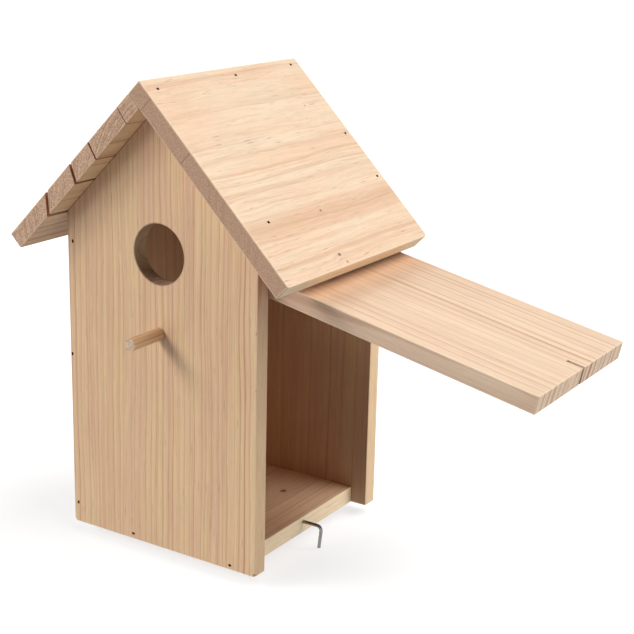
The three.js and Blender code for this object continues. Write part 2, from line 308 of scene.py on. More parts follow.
def cut(piece, cutters):
    """Subtracts each cutter, a bmesh, from the piece."""
    tools = []
    for number, bm in enumerate(cutters):
        tool = new_object(f"cutter_{number}", mesh_from("cutter", bm))
        tools.append(tool)
        modifier = piece.modifiers.new(f"cut_{number}", "BOOLEAN")
        modifier.operation = "DIFFERENCE"
        modifier.solver = "MANIFOLD"
        modifier.object = tool
    apply_modifiers(piece)
    for tool in tools:
        mesh = tool.data
        bpy.data.objects.remove(tool)
        bpy.data.meshes.remove(mesh)


def apply_modifiers(piece):
    graph = bpy.context.evaluated_depsgraph_get()
    mesh = bpy.data.meshes.new_from_object(piece.evaluated_get(graph))
    old = piece.data
    piece.modifiers.clear()
    piece.data = mesh
    mesh.name = piece.name
    bpy.data.meshes.remove(old)


def smooth(piece):
    """Smooth shading that keeps sharp bends, with normals weighted by area so that flat faces stay flat."""
    piece.data.shade_smooth()
    piece.data.set_sharp_from_angle(angle=SMOOTH_UP_TO)
    modifier = piece.modifiers.new("weighted", "WEIGHTED_NORMAL")
    modifier.keep_sharp = True
    modifier.weight = 100


def finish_piece(piece, body, replaced, material):
    """Shading, material and body, and hides the CAD nodes that the piece stands for."""
    smooth(piece)
    piece.data.materials.clear()
    piece.data.materials.append(material)
    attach(piece, body)
    if replaced:
        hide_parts(*replaced)


# ---- Node helpers ----
class Graph:
    """Short calls for adding nodes to a material. A value is a number, a tuple or another node's output."""

    def __init__(self, name):
        self.material = bpy.data.materials.new(name)
        self.material.use_nodes = True
        self.tree = self.material.node_tree
        self.shader = self.tree.nodes["Principled BSDF"]

    def put(self, socket, value):
        if isinstance(value, bpy.types.NodeSocket):
            self.tree.links.new(value, socket)
        elif isinstance(value, (tuple, Vector)) and socket.type == "RGBA":
            socket.default_value = (*value, 1)
        else:
            socket.default_value = value

    def surface(self, name, value):
        """Sets one input of the surface."""
        self.put(self.shader.inputs[name], value)

    def node(self, kind, inputs, **settings):
        made = self.tree.nodes.new(kind)
        for key, value in settings.items():
            setattr(made, key, value)
        for key, value in inputs.items():
            self.put(made.inputs[key], value)
        return made

    def math(self, operation, a, b=0.0):
        return self.node("ShaderNodeMath", {0: a, 1: b}, operation=operation).outputs[0]

    def times(self, a, b):
        return self.math("MULTIPLY", a, b)

    def plus(self, a, b):
        return self.math("ADD", a, b)

    def vector(self, operation, a, b=(0, 0, 0)):
        made = self.node("ShaderNodeVectorMath", {0: a, 1: b}, operation=operation)
        gives_number = operation in ("DOT_PRODUCT", "LENGTH", "DISTANCE")
        return made.outputs["Value" if gives_number else "Vector"]

    def dot(self, a, b):
        return self.vector("DOT_PRODUCT", a, b)

    def combine(self, x, y, z):
        return self.node("ShaderNodeCombineXYZ", {0: x, 1: y, 2: z}).outputs[0]

    def coordinates(self, kind):
        return self.node("ShaderNodeTexCoord", {}).outputs[kind]

    def attribute(self, name):
        return self.node("ShaderNodeAttribute", {}, attribute_name=name).outputs["Fac"]

    def noise(self, place, scale, detail, roughness):
        """Perlin noise from 0 to 1; `scale` is the number of features to the millimetre along each axis."""
        stretched = self.vector("MULTIPLY", place, scale)
        inputs = {"Vector": stretched, "Scale": 1.0, "Detail": detail, "Roughness": roughness}
        return self.node("ShaderNodeTexNoise", inputs).outputs[0]

    def random(self, value):
        return self.node("ShaderNodeTexWhiteNoise", {"W": value}, noise_dimensions="1D").outputs["Value"]

    def step(self, value, low, high):
        """0 below `low`, 1 above `high`, and smooth between; it falls instead where low is over high."""
        falls = low > high
        inputs = {"Value": value, 1: min(low, high), 2: max(low, high), 3: float(falls), 4: float(not falls)}
        return self.node("ShaderNodeMapRange", inputs, interpolation_type="SMOOTHSTEP").outputs[0]

    def spread(self, value, low, high):
        """Takes 0 to 1 onto low to high."""
        return self.node("ShaderNodeMapRange", {"Value": value, 1: 0.0, 2: 1.0, 3: low, 4: high}).outputs[0]

    def mix(self, factor, a, b, blend="MIX"):
        made = self.node("ShaderNodeMix", {}, data_type="RGBA", blend_type=blend)
        # These are the node's sockets for colours.
        self.put(made.inputs[0], factor)
        self.put(made.inputs[6], a)
        self.put(made.inputs[7], b)
        return made.outputs[2]

    def lay(self, colour, over, pattern, strength):
        """Lays the colour `over` on `colour` where a pattern from 0 to 1 is, at some strength."""
        return self.mix(self.times(pattern, strength), colour, over)

    def tint(self, colour, tone):
        return self.mix(1.0, colour, self.combine(tone, tone, tone), "MULTIPLY")

    def bump(self, height, strength, distance):
        made = self.node("ShaderNodeBump", {"Height": height, "Strength": strength, "Distance": distance})
        self.surface("Normal", made.outputs[0])


def linear(red, green, blue):
    """Linear colour from sRGB values of 0 to 255."""
    channels = [value / 255 for value in (red, green, blue)]
    return tuple(c / 12.92 if c <= 0.04045 else ((c + 0.055) / 1.055) ** 2.4 for c in channels)


# ---- Wood ----
# Noise patterns: features to the millimetre across, through and along the grain; detail; roughness.
NOISE = {
    "wave": ((0.022, 0.022, 0.0045), 2, 0.5),
    "ripple": ((0.09, 0.09, 0.018), 2, 0.5),
    "uneven_rings": ((0.12, 1, 1), 3, 0.6),
    "fibre": ((1.5, 1.5, 0.07), 3, 0.75),
    "cloud": ((0.05, 0.05, 0.02), 3, 0.55),
    "pink": ((1, 1, 1), 2, 0.6),
    "speckle": ((1.1, 1.1, 1.1), 3, 0.8),
    "arcs": ((0.75, 1, 1), 2, 0.7),
}
LINES_ACROSS, LINES_DETAIL, LINES_ROUGHNESS = 0.8, 4, 0.7
# How much the pink patches change along the rings' radius and along the grain, to the millimetre.
PINK_OUTWARD, PINK_ALONG = 0.1, 0.006
# The values at which a thing starts to show and shows fully: a pattern's, the cosine of a face's slope,
# millimetres from a glue line, or radii from a knot.
STEPS = {
    "pink": (0.36, 0.64), "dark_line": (0.5, 0.74), "light_line": (0.46, 0.28), "dash": (1.0, 0.3),
    "pores": (0.5, 0.36), "dots": (0.36, 0.64), "arcs": (0.48, 0.62), "end_grain": (0.55, 0.85),
    "glue_line": (0.45, 0.15), "knot_bend": (3.4, 0.3), "knot": (1.15, 0.45),
}
# How strongly things show on every board: a painted highlight on lit edge faces, knot cores, glue lines, and
# worn arrises with a painted highlight; and two shares of a look's own value.
PAINTED_EDGE_HIGHLIGHT, KNOT_CORE, GLUE_LINE, ARRIS = 0.85, 0.8, 0.5, 0.5
LIGHT_LINE_SHARE, PORE_SHARE = 0.6, 1.6
FIBRE_TONE = (0.78, 1.22)
ROUGHNESS, END_ROUGHNESS, SPECULAR = (0.56, 0.76), 0.12, 0.35
# How far the rings of one glued strip are out of line with the last one's, in millimetres.
STRIP_SHIFT = 43.0
# How far a knot pushes the grain aside, in its own radii.
KNOT_PULL = 1.6
# The width over the length of the bend round a knot, and of the knot itself.
KNOT_BEND_SHAPE, KNOT_SHAPE = 0.4, 0.75
# A ring's darkness: the part that comes slowly, the part that comes quickly and where, where the ring ends,
# and how dark the weakest ring is.
RING_SLOW, RING_QUICK = 0.35, 0.65
RING_QUICK_FROM, RING_QUICK_TO, RING_END = 0.84, 0.91, 0.95
WEAKEST_RING = 0.45
# Cells to the millimetre across and along the grain, each with one resin dash at most; a dash's size in
# cells, the faintest dash, and how softly the cells are chosen.
DASH_ACROSS, DASH_ALONG = (0.5, 0.35, 0), (0, 0, 0.035)
DASH_SIZE, FAINTEST_DASH, DASH_FADE = (0.04, 0.2), 0.2, 0.08
# Millimetres over which the painted shade under the eave comes in, along and across the grain, and the
# painted highlight on lit edge faces.
EAVE_SHADE_RISE_ALONG, EAVE_SHADE_RISE_ACROSS, EDGE_HIGHLIGHT_RISE = 65, 1.2, 0.4
# The share of the painted eave shade outside its line across the board, which the door's side face gets.
EAVE_SHADE_AT_SIDE = 0.1
# How much the fine relief rises with each pattern, and how deep it is.
RELIEF = {"fibre": 0.35, "lines": 0.25, "late": 0.18, "dash": -0.5, "pits": 1.4}
RELIEF_STRENGTH, RELIEF_DEPTH = 0.45, 0.12 * MM


def board_place(graph, look):
    """The place in the board in millimetres: x across its width, y through it and z along the grain."""
    shifted = graph.vector("SUBTRACT", graph.coordinates("Object"), look["centre"])
    axes = [Vector(axis) / MM for axis in look["axes"]]
    return graph.combine(*(graph.dot(shifted, axis) for axis in axes))


def end_grain(graph, look):
    """1 on faces that cut across the grain, and 0 on faces along it."""
    across = graph.dot(graph.coordinates("Normal"), Vector(look["axes"][2]))
    return graph.step(graph.math("ABSOLUTE", across), *STEPS["end_grain"])


def knots(graph, look, place):
    """How far the grain bends round the knots, in millimetres, and how dark they are."""
    pull, dark = 0.0, 0.0
    for x, z, radius in look["knots"]:
        offset = graph.vector("SUBTRACT", place, (x, 0, z))
        in_bends = graph.vector("MULTIPLY", offset, (1 / radius, 0, KNOT_BEND_SHAPE / radius))
        in_cores = graph.vector("MULTIPLY", offset, (1 / radius, 0, KNOT_SHAPE / radius))
        near = graph.vector("LENGTH", in_bends)
        core = graph.vector("LENGTH", in_cores)
        pull = graph.plus(pull, graph.times(graph.step(near, *STEPS["knot_bend"]), radius * KNOT_PULL))
        dark = graph.math("MAXIMUM", dark, graph.step(core, *STEPS["knot"]))
    return pull, dark


def glue_joints(graph, look, across):
    """How far each glued strip's rings are out of line, and the thin dark joints between the strips."""
    shift, line = 0.0, 0.0
    for place in look["joints"]:
        past = graph.math("GREATER_THAN", across, place)
        shift = graph.plus(shift, graph.times(past, STRIP_SHIFT))
        gap = graph.math("ABSOLUTE", graph.math("SUBTRACT", across, place))
        line = graph.math("MAXIMUM", line, graph.step(gap, *STEPS["glue_line"]))
    return shift, line


def growth_rings(graph, look, bent):
    """Dark latewood lines, from 0 to 1, and the distance from the pith.

    Each ring darkens slowly, then quickly, and ends sharply.
    """
    seed = look["seed"]
    flat = graph.vector("MULTIPLY", bent, (1, 1, 0))
    radius = graph.vector("DISTANCE", flat, look["pith"])
    uneven = graph.noise(graph.combine(radius, seed[0], 0.0), *NOISE["uneven_rings"])
    count = graph.plus(
        graph.math("DIVIDE", radius, look["ring"]), graph.spread(uneven, -look["uneven"], look["uneven"]),
    )
    phase = graph.math("FRACT", count)
    slow = graph.times(graph.step(phase, look["late_from"], RING_END), RING_SLOW)
    quick = graph.times(graph.step(phase, RING_QUICK_FROM, RING_QUICK_TO), RING_QUICK)
    late = graph.times(graph.plus(slow, quick), graph.step(phase, 1.0, RING_END))
    strength = graph.random(graph.plus(graph.math("FLOOR", count), seed[1]))
    return graph.times(late, graph.spread(strength, WEAKEST_RING, 1.0)), radius


def resin_dashes(graph, look, bent):
    """Short dark dashes along the grain, which are resin canals cut along their length."""
    cell_place = graph.combine(graph.dot(bent, DASH_ACROSS), graph.dot(bent, DASH_ALONG), look["seed"][2])
    cells = graph.node("ShaderNodeTexVoronoi", {"Vector": cell_place, "Scale": 1.0}, voronoi_dimensions="2D")
    luck = graph.node("ShaderNodeSeparateColor", {0: cells.outputs["Color"]})
    size = graph.spread(luck.outputs[1], *DASH_SIZE)
    shape = graph.step(graph.math("DIVIDE", cells.outputs["Distance"], size), *STEPS["dash"])
    shape = graph.times(shape, graph.spread(luck.outputs[2], FAINTEST_DASH, 1.0))
    chosen = graph.step(luck.outputs[0], look["dashes"], look["dashes"] - DASH_FADE)
    return graph.times(shape, chosen)


def broad_bands(graph, look, across):
    """Soft darker bands along the grain."""
    total = 0.0
    for place, half_width, strength in look["bands"]:
        off = graph.math("ABSOLUTE", graph.math("SUBTRACT", across, place))
        total = graph.math("MAXIMUM", total, graph.times(graph.step(off, half_width, 0.0), strength))
    return total


def wood_patterns(graph, look):
    """The places in the board, and the patterns that its colours and relief are made from."""
    seed = Vector(look["seed"])
    place = board_place(graph, look)
    across = graph.dot(place, (1, 0, 0))
    pull, knot = knots(graph, look, place)
    shift, joint = glue_joints(graph, look, across)

    # The grain wanders slowly along the board, ripples a little, and bends round the knots.
    strayed = graph.vector("ADD", place, seed)
    wave = graph.spread(graph.noise(strayed, *NOISE["wave"]), -look["wave"], look["wave"])
    ripple = graph.spread(graph.noise(strayed, *NOISE["ripple"]), -look["ripple"], look["ripple"])
    wander = graph.plus(wave, ripple)
    bend = graph.plus(wander, graph.plus(pull, shift))
    bent = graph.vector("ADD", place, graph.combine(bend, 0.0, 0.0))
    grain = graph.vector("ADD", bent, seed)
    late, radius = growth_rings(graph, look, bent)
    lines_scale = (LINES_ACROSS, LINES_ACROSS, look["line_drift"])
    ends = end_grain(graph, look)
    speckle = graph.noise(strayed, *NOISE["speckle"])
    return SimpleNamespace(
        place=place, across=across, strayed=strayed, wander=wander, radius=radius, late=late, knot=knot,
        joint=joint, ends=ends, speckle=speckle, pits=graph.times(speckle, ends),
        dash=resin_dashes(graph, look, bent), fibre=graph.noise(grain, *NOISE["fibre"]),
        lines=graph.noise(grain, lines_scale, LINES_DETAIL, LINES_ROUGHNESS),
    )


def painted_eave_shade(graph, look, wood):
    """Where a painted shade under the roof's eave makes the wood warmer and darker, from 0 to 1: along the
    board, and past a line across it.
    """
    along = graph.dot(wood.place, (0, 0, 1))
    past_start = graph.step(along, look["eave_shade_from"], look["eave_shade_from"] + EAVE_SHADE_RISE_ALONG)
    eave_shaded = graph.times(past_start, look["eave_shade_strength"])
    past_side = graph.step(wood.across, look["eave_shade_side"], look["eave_shade_side"] + EAVE_SHADE_RISE_ACROSS)
    return graph.times(eave_shaded, graph.spread(past_side, EAVE_SHADE_AT_SIDE, 1.0))


def face_colour(graph, look, wood):
    """The faces along the grain: pale and pink wood under rings, bands, fine lines, dashes and knots."""
    drift = graph.dot(wood.place, (0, 0, PINK_ALONG))
    patches = graph.combine(graph.times(wood.radius, PINK_OUTWARD), drift, look["seed"][2])
    pink = graph.step(graph.noise(patches, *NOISE["pink"]), *STEPS["pink"])
    colour = graph.mix(pink, look["pale"], look["pink"])
    colour = graph.lay(colour, look["late"], wood.late, look["contrast"])
    bands = broad_bands(graph, look, graph.plus(wood.across, wood.wander))
    colour = graph.mix(bands, colour, look["late"])
    # A painted shade under the roof's eave: warmer and darker wood near the door's hinge.
    colour = graph.mix(painted_eave_shade(graph, look, wood), colour, look["eave_shade_colour"])
    # A painted highlight: a paler strip on an edge face that the light falls on.
    edge_highlight = graph.step(wood.across, look["edge_highlight_from"], look["edge_highlight_from"] + EDGE_HIGHLIGHT_RISE)
    colour = graph.lay(colour, look["arris"], edge_highlight, PAINTED_EDGE_HIGHLIGHT)
    dark_line = graph.step(wood.lines, *STEPS["dark_line"])
    light_line = graph.step(wood.lines, *STEPS["light_line"])
    colour = graph.lay(colour, look["late"], dark_line, look["line_contrast"])
    colour = graph.lay(colour, look["arris"], light_line, look["line_contrast"] * LIGHT_LINE_SHARE)
    cloud = graph.noise(wood.strayed, *NOISE["cloud"])
    patchy = graph.spread(cloud, 1 - look["mottle"], 1 + look["mottle"])
    colour = graph.tint(colour, graph.times(patchy, graph.spread(wood.fibre, *FIBRE_TONE)))
    colour = graph.lay(colour, look["dark"], wood.dash, look["dash_dark"])
    return graph.lay(colour, look["dark"], wood.knot, KNOT_CORE)


def end_colour(graph, look, wood):
    """The faces across the grain: the cut tubes drink in light, so they are darker and speckled."""
    colour = graph.lay(look["end"], look["end_late"], wood.late, look["end_contrast"])
    pores = graph.step(wood.speckle, *STEPS["pores"])
    colour = graph.lay(colour, look["end_late"], pores, look["speckle"] * PORE_SHARE)
    arcs = graph.noise(graph.combine(wood.radius, look["seed"][2], 0.0), *NOISE["arcs"])
    colour = graph.lay(colour, look["end_late"], graph.step(arcs, *STEPS["arcs"]), look["arcs"])
    dots = graph.step(wood.speckle, *STEPS["dots"])
    colour = graph.tint(colour, graph.spread(dots, 1 - look["speckle"], 1 + look["speckle"]))
    return graph.lay(colour, look["dark"], wood.joint, GLUE_LINE)


def pine(name, look):
    """Solid pine: growth rings about a pith, fine lines and fibres, resin dashes, knots and end grain."""
    graph = Graph(name)
    wood = wood_patterns(graph, look)
    colour = graph.mix(wood.ends, face_colour(graph, look, wood), end_colour(graph, look, wood))
    # Lighter rounded edges: worn wood, with a painted highlight.
    colour = graph.lay(colour, look["arris"], graph.attribute("arris"), ARRIS)
    # The walls of holes and splits take the "cut" colour, a painted shade.
    graph.surface("Base Color", graph.mix(graph.attribute("painted_hole_shade"), colour, look["cut"]))
    rough_ends = graph.times(wood.ends, END_ROUGHNESS)
    graph.surface("Roughness", graph.plus(graph.spread(wood.fibre, *ROUGHNESS), rough_ends))
    graph.surface("Specular IOR Level", SPECULAR)
    height = 0.0
    for pattern, rise in RELIEF.items():
        height = graph.plus(height, graph.times(getattr(wood, pattern), rise))
    graph.bump(height, RELIEF_STRENGTH, RELIEF_DEPTH)
    return graph.material


# What a look says. Its lengths are millimetres in the board: x across it, y through it, z along the grain.
#   axes, centre: where the board's x, y and z point, and its origin in metres
#   seed: shifts the noise, so that no two boards are alike
#   pith, ring, uneven: the rings' centre, the width of a ring, and how uneven they are, in rings
#   late_from, contrast: the share of a ring where latewood starts, and how strongly it shows
#   wave, ripple: how far the grain wanders
#   line_contrast, line_drift: fine lines, and how many there are to the millimetre along the grain
#   dashes, dash_dark: the share of cells with a resin dash, and how strongly they show
#   mottle: how cloudy the colour is
#   eave_shade_from, eave_shade_side, eave_shade_strength: where the painted shade under the eave starts along
#   and across the board, and its strength
#   edge_highlight_from: where a painted highlight on a lit edge face starts across the board
#   end_contrast, speckle, arcs: rings, pores and fine arcs on the end grain
#   knots: x, z and radius; joints: x of each glue joint; bands: x, half width and strength
# Colours: pale and pink wood, latewood, dark knots and resin, a painted shade under the eave, worn arrises
# with a painted highlight, end grain and its latewood, and a painted shade on the walls of holes.
# Places before and past the whole of any board.
BEFORE_BOARD, PAST_BOARD = -1000.0, 1000.0
PINE = {
    "wave": 4.0, "ripple": 0.6, "ring": 4.8, "uneven": 1.6, "late_from": 0.35, "contrast": 0.85,
    "line_contrast": 0.42, "line_drift": 0.006, "dashes": 0.12, "dash_dark": 0.3, "mottle": 0.05,
    "eave_shade_from": PAST_BOARD, "eave_shade_side": BEFORE_BOARD, "eave_shade_strength": 0.0, "edge_highlight_from": PAST_BOARD,
    "end_contrast": 0.5, "speckle": 0.2, "arcs": 0.0, "knots": (), "joints": (), "bands": (),
    "pale": linear(228, 192, 146), "pink": linear(222, 180, 142), "late": linear(176, 114, 72),
    "dark": linear(104, 66, 42), "eave_shade_colour": linear(200, 146, 102), "arris": linear(238, 210, 176),
    "end": linear(204, 166, 138), "end_late": linear(158, 116, 88), "cut": linear(76, 36, 14),
}
GRAIN_UP = ((1, 0, 0), (0, 1, 0), (0, 0, 1))
GRAIN_BACK = ((1, 0, 0), (0, 0, 1), (0, 1, 0))
DOOR_ALONG = Vector((math.sin(-DOOR_OPEN_ANGLE), 0, math.cos(-DOOR_OPEN_ANGLE)))
DOOR_THROUGH = Vector((math.cos(-DOOR_OPEN_ANGLE), 0, -math.sin(-DOOR_OPEN_ANGLE)))
LOOKS = {
    "front": {
        "axes": GRAIN_UP, "centre": (0, FRONT_LOW.y, 140 * MM), "pith": (-260, 60, 0),
        "seed": (11.0, 3.0, 41.0), "ring": 4.2, "dashes": 0.35, "dash_dark": 0.42,
        "pale": linear(228, 194, 148), "pink": linear(224, 183, 146), "late": linear(184, 115, 76),
    },
    "back": {
        "axes": GRAIN_UP, "centre": (0, BACK_LOW.y, 140 * MM), "pith": (210, 90, 0),
        # Darker than the other boards, a painted shade for the inside of the box, with a painted highlight on
        # its lit right edge face.
        "seed": (57.0, 23.0, 9.0), "contrast": 0.5, "line_contrast": 0.25, "edge_highlight_from": HALF_WIDTH / MM - 0.5,
        "pale": linear(213, 176, 133), "pink": linear(208, 165, 129), "arris": linear(234, 200, 156),
    },
    "side": {
        "axes": ((0, 1, 0), (1, 0, 0), (0, 0, 1)), "centre": (SIDE_LOW.x, 0, 100 * MM), "pith": (40, 70, 0),
        "seed": (31.0, 71.0, 5.0), "ring": 4.4, "contrast": 0.6,
        "pale": linear(205, 166, 124), "pink": linear(199, 155, 118),
    },
    "floor": {
        "axes": GRAIN_BACK, "centre": (0, 0, FLOOR_HIGH.z), "pith": (20, -55, 0), "seed": (83.0, 13.0, 29.0),
        # A painted highlight on the floor's lit right edge face, in a brighter "arris" colour.
        "contrast": 0.5, "line_contrast": 0.35, "edge_highlight_from": FLOOR_HIGH.x / MM - 0.5,
        "knots": ((27.3, 27.5, 2.3),),
        "pale": linear(230, 192, 156), "pink": linear(224, 182, 148), "dark": linear(98, 48, 30),
        "arris": linear(255, 230, 190),
    },
    "right_roof": {
        "axes": ((SLANT, 0, -SLANT), (-SLANT, 0, -SLANT), (0, 1, 0)), "centre": (0, 0, RIDGE),
        "pith": (60, 95, 0), "seed": (5.0, 37.0, 63.0), "wave": 5.0, "ripple": 1.3, "ring": 6.5,
        "contrast": 0.4, "line_contrast": 0.36, "line_drift": 0.02, "dashes": 0.55, "dash_dark": 0.5,
        # A painted highlight on the lit end face at the eave.
        "edge_highlight_from": 149.6, "end_contrast": 0.25, "speckle": 0.17, "joints": (13.0, 53.0),
        "bands": ((6.0, 5.0, 0.12), (62.0, 4.0, 0.2), (112.0, 12.0, 0.45), (139.0, 3.0, 0.45)),
        "knots": ((37.5, 45.6, 0.6), (110.8, -14.1, 0.9), (141.5, -26.3, 1.3), (147.4, -23.7, 0.8)),
        "pale": linear(227, 203, 174), "pink": linear(226, 194, 164), "late": linear(196, 144, 108),
        "arris": linear(236, 212, 178), "end": linear(189, 150, 122), "end_late": linear(148, 102, 74),
    },
    "left_roof": {
        "axes": ((-SLANT, 0, -SLANT), (SLANT, 0, -SLANT), (0, 1, 0)), "centre": (0, 0, RIDGE),
        "pith": (20, 85, 0), "seed": (17.0, 53.0, 77.0), "wave": 6.0, "ripple": 1.2, "ring": 5.5,
        "line_drift": 0.02, "dashes": 0.5, "end_contrast": 0.5, "speckle": 0.24, "arcs": 0.55,
        # Its "cut" colour is the painted shade in the splits and brad holes.
        "pale": linear(236, 206, 164), "pink": linear(232, 196, 156), "cut": linear(178, 114, 78),
        "end": linear(206, 170, 140), "end_late": linear(150, 100, 72),
    },
    "door": {
        "axes": ((0, 1, 0), DOOR_THROUGH, DOOR_ALONG), "centre": PIVOT, "pith": (-300, 45, 0),
        "seed": (67.0, 7.0, 19.0), "wave": 2.0, "ripple": 0.35, "ring": 7.2, "uneven": 1.1,
        # Near the hinge the door is warmer and darker, a painted shade under the roof's eave; its side face
        # gets little of it.
        "contrast": 0.82, "line_contrast": 0.35, "eave_shade_from": -70.0, "eave_shade_side": -60.5, "eave_shade_strength": 0.9,
        "end_contrast": 1.7, "speckle": 0.1, "bands": ((-60.8, 1.3, 0.35),),
        "pale": linear(223, 197, 169), "pink": linear(218, 189, 163), "late": linear(172, 126, 94),
        "arris": linear(234, 210, 182), "end": linear(226, 198, 170), "end_late": linear(168, 120, 88),
    },
    "perch": {
        "axes": GRAIN_BACK, "centre": (0, PERCH_LOW.y, 144 * MM), "pith": (-9, 12, 0),
        "seed": (3.0, 91.0, 43.0), "wave": 0.6, "ripple": 0.2, "ring": 3.4, "dashes": 0.05,
        "pale": linear(226, 188, 146), "pink": linear(216, 172, 132), "late": linear(176, 122, 84),
        "end": linear(214, 188, 158),
    },
}
WOOD = {name: pine(f"{name}_wood", {**PINE, **look}) for name, look in LOOKS.items()}


# ---- Steel ----
def steel(name, colour, roughness, tarnish, grime):
    """Drawn wire with fine lines, and cloudy patches of `grime` where it is tarnished."""
    graph = Graph(name)
    place = graph.vector("SCALE", graph.coordinates("Object"))
    place.node.inputs["Scale"].default_value = 1 / MM
    cloud = graph.noise(place, (0.8, 0.8, 0.8), 4, 0.6)
    grain = graph.noise(place, (6, 6, 1.2), 2, 0.6)
    patch = graph.times(graph.step(cloud, 0.45, 0.7), tarnish)
    cloudy = graph.spread(cloud, roughness - 0.08, roughness + 0.12)
    graph.surface("Base Color", graph.mix(patch, colour, grime))
    graph.surface("Metallic", 1.0)
    graph.surface("Roughness", graph.plus(cloudy, graph.times(patch, 0.2)))
    graph.bump(graph.plus(grain, cloud), 0.25, 0.05 * MM)
    return graph.material


HOOK_STEEL = steel("hook_zinc", linear(146, 148, 146), 0.2, 0.5, linear(92, 90, 86))
BRAD_STEEL = steel("brad_steel", linear(56, 27, 10), 0.7, 0.8, linear(30, 15, 7))
PIN_STEEL = steel("pin_steel", linear(150, 150, 150), 0.4, 0.5, linear(96, 90, 84))


# ---- Brads ----
def brad_direction(node):
    """The way a brad was driven in."""
    if node.startswith(("ridge", "right_roof")):
        return Vector((-SLANT, 0, -SLANT))
    if node.startswith("left_roof"):
        return Vector((SLANT, 0, -SLANT))
    return Vector((0, 1, 0)) if node.startswith("front") else Vector((0, -1, 0))


def brad_wide_side(node):
    """The direction in which a brad is widest."""
    if "roof" in node or "ridge" in node:
        return Vector((0, 1, 0))
    return Vector((0, 0, 1)) if "side" in node else Vector((1, 0, 0))


def brad_head(node):
    """The middle of the CAD brad's head."""
    down = brad_direction(node)
    points = [vertex.co for vertex in frame["nodes"][node].data.vertices]
    top = min(point.dot(down) for point in points)
    head = [point for point in points if point.dot(down) < top + 0.1 * MM]
    return sum(head, Vector()) / len(head)


def brad_matrix(node):
    wide = brad_wide_side(node)
    up = -brad_direction(node)
    matrix = Matrix((wide, up.cross(wide), up)).transposed().to_4x4()
    matrix.translation = brad_head(node)
    return matrix


def brad_prism(width, thickness, length, above):
    """A brad along -Z from z = 0, with a wedge point, and `above` added over its head."""
    half = width / 2
    outline = [(-half, above), (half, above), (half, -length + width), (0, -length), (-half, -length + width)]
    return prism(outline, -thickness / 2, thickness / 2)


def make_brad(node):
    """Built upright, then turned the way it was driven."""
    bm = brad_prism(BRAD_WIDTH, BRAD_THICKNESS, BRAD_LENGTH, -BRAD_SINK)
    bevel(bm, list(bm.edges), BRAD_EDGE_RADIUS)
    piece = new_object(node + "_wire", mesh_from(node, bm))
    piece.data.transform(brad_matrix(node))
    finish_piece(piece, "house", [node], BRAD_STEEL)


def brad_cutters(nodes):
    """The holes that the brads were driven into, with room on all sides."""
    room = 2 * BRAD_FIT
    cutters = []
    for node in nodes:
        bm = brad_prism(BRAD_WIDTH + room, BRAD_THICKNESS + room, BRAD_LENGTH + PAST_FACE, BRAD_HOLE_ABOVE)
        bm.transform(brad_matrix(node))
        cutters.append(paint_shade(bm, SHADES["brad_hole"]))
    return cutters


def brads_from(*starts):
    return [node for node in BRADS if node.startswith(starts)]


def brads_into(board):
    return [node for node in BRADS if node.endswith(f"_{board}_brad")]


# ---- Boards ----
GABLE = [
    (-HALF_WIDTH, 0), (HALF_WIDTH, 0), (HALF_WIDTH, EAVE_HEIGHT), (0, GABLE_PEAK), (-HALF_WIDTH, EAVE_HEIGHT),
]
# Dents in the front panel's upright arrises: the side, the height and the radius in millimetres.
FRONT_NICKS = ((1, 156.9, 0.9), (1, 121.6, 0.8), (1, 1.2, 1.5), (-1, 0.6, 1.1))


def make_front_panel():
    entrance = OPENINGS["entrance_hole"]
    centre_z = (entrance[0][2] + entrance[1][2]) / 2
    y_from, y_to = FRONT_LOW.y, FRONT_HIGH.y
    entrance_cutter = flared_cutter(
        ENTRANCE_RADIUS, y_from, y_to, 0, centre_z, ENTRANCE_FLARE, ENTRANCE_SIDES,
    )
    piece = rounded_board("front_board", GABLE, y_from, y_to, [
        paint_shade(entrance_cutter, SHADES["entrance"]),
        through_hole(FRONT_LOW, FRONT_HIGH, PERCH_HOLE_RADIUS, PERCH_CENTRE, HOLE_SIDES),
        through_hole(FRONT_LOW, FRONT_HIGH, PIN_HOLE_RADIUS, PIN_CENTRE, SMALL_HOLE_SIDES),
        *brad_cutters(brads_from("front_")),
        *brad_cutters(("right_roof_front_brad", "left_roof_front_brad")),
        *(nick(side * HALF_WIDTH, y_from, height * MM, size * MM) for side, height, size in FRONT_NICKS),
    ])
    finish_piece(piece, "house", ["front_panel"], WOOD["front"])


def make_back_panel():
    piece = rounded_board("back_board", GABLE, BACK_LOW.y, BACK_HIGH.y, [
        through_hole(BACK_LOW, BACK_HIGH, PIN_HOLE_RADIUS, PIN_CENTRE, SMALL_HOLE_SIDES),
        *brad_cutters(brads_from("back_")),
        *brad_cutters(brads_from("right_roof_rear", "left_roof_rear")),
    ])
    finish_piece(piece, "house", ["back_panel"], WOOD["back"])


def make_side_panel():
    low, high = SIDE_LOW, SIDE_HIGH
    outline = [(low.x, low.z), (high.x, low.z), (high.x, high.z), (low.x, EAVE_HEIGHT)]
    piece = rounded_board("left_side_board", outline, low.y, high.y, brad_cutters(brads_into("side")))
    finish_piece(piece, "house", ["left_side_panel"], WOOD["side"])


